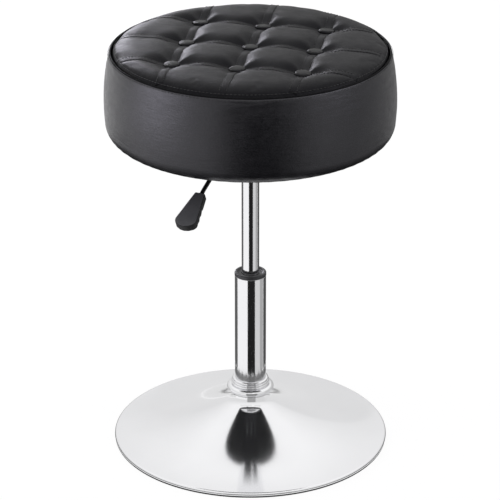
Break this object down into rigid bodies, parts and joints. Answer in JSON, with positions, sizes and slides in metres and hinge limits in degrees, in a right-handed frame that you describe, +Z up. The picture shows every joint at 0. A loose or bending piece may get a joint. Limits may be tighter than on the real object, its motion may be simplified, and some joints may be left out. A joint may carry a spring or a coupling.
{
  "type": "vanity stool",
  "caption": "Round tufted leather stool seat that swivels and rises on a gas-lift column with a flared chromed base and a release lever under the seat.",
  "frame": {"origin": "on the floor, at the column's axis", "axes": "+Z up along the column, -Y towards the front of the picture, +X to its right"},
  "size_m": [0.4103, 0.4104, 0.6104],
  "materials": {
    "chrome_plate": "polished",
    "black_rubber": "matte",
    "zinc_steel": "satin",
    "black_paint": "satin",
    "black_plastic": "satin",
    "white_plastic": "satin",
    "valve_brass": "satin",
    "plywood": "matte",
    "foam": "matte",
    "leather": "satin",
    "button_leather": "gloss",
    "twine": "matte",
    "dust_fabric": "matte"
  },
  "bodies": {
    "base": {"base_shell": "chrome_plate", "base_edge_ring": "black_rubber", "base_socket": "zinc_steel", "base_stiffener": "zinc_steel", "foot_trim_ring": "chrome_plate", "column_tube": "chrome_plate", "column_collar": "black_plastic", "guide_bush": "white_plastic", "column_end_plate": "zinc_steel", "bearing_lower_race": "zinc_steel", "bearing_cage": "white_plastic", "bearing_balls": "zinc_steel"},
    "rod": {"piston_rod": "zinc_steel", "bearing_upper_race": "zinc_steel", "rod_clip": "zinc_steel", "bump_stop": "black_rubber", "piston": "zinc_steel", "piston_nut": "zinc_steel"},
    "seat": {"gas_cylinder": "chrome_plate", "cylinder_guide": "white_plastic", "rod_seal": "black_rubber", "valve_body": "valve_brass", "seat_board": "plywood", "seat_foam": "foam", "side_band": "leather", "top_panel": "leather", "edge_welt": "leather", "tuft_buttons": "button_leather", "button_ties": "twine", "button_anchors": "zinc_steel", "dust_cover": "dust_fabric", "staples": "zinc_steel", "seat_plate": "black_paint", "plate_bolts": "zinc_steel", "plate_washers": "zinc_steel", "tee_nuts": "zinc_steel", "plate_socket": "black_paint", "lever_bracket": "black_paint", "lever_pivot_pin": "zinc_steel", "lever_stop_pin": "zinc_steel"},
    "lever": {"lever_rod": "black_paint", "lever_grip": "black_plastic"},
    "valve_pin": {"valve_pin": "zinc_steel"}
  },
  "joints": [
    {"name": "seat_swivel", "type": "hinge", "parent": "base", "child": "rod", "pos_m": [0, 0, 0.02], "axis": [0, 0, 1], "continuous": true},
    {"name": "seat_lift", "type": "slide", "parent": "rod", "child": "seat", "axis": [0, 0, 1], "range_m": [-0.12, 0]},
    {"name": "lever_pull", "type": "hinge", "parent": "seat", "child": "lever", "pos_m": [-0.01606, -0.03444, 0.4639], "axis": [-0.9063, 0.4226, 0], "range_deg": [0, 5.3], "stiffness_Nm_per_rad": 20, "springref_deg": -3.44},
    {"name": "valve_press", "type": "slide", "parent": "seat", "child": "valve_pin", "axis": [0, 0, 1], "range_m": [-0.0036, 0]}
  ],
  "couplings": [
    {"joint": "valve_press", "follows": "lever_pull", "m_per_rad": -0.038}
  ]
}
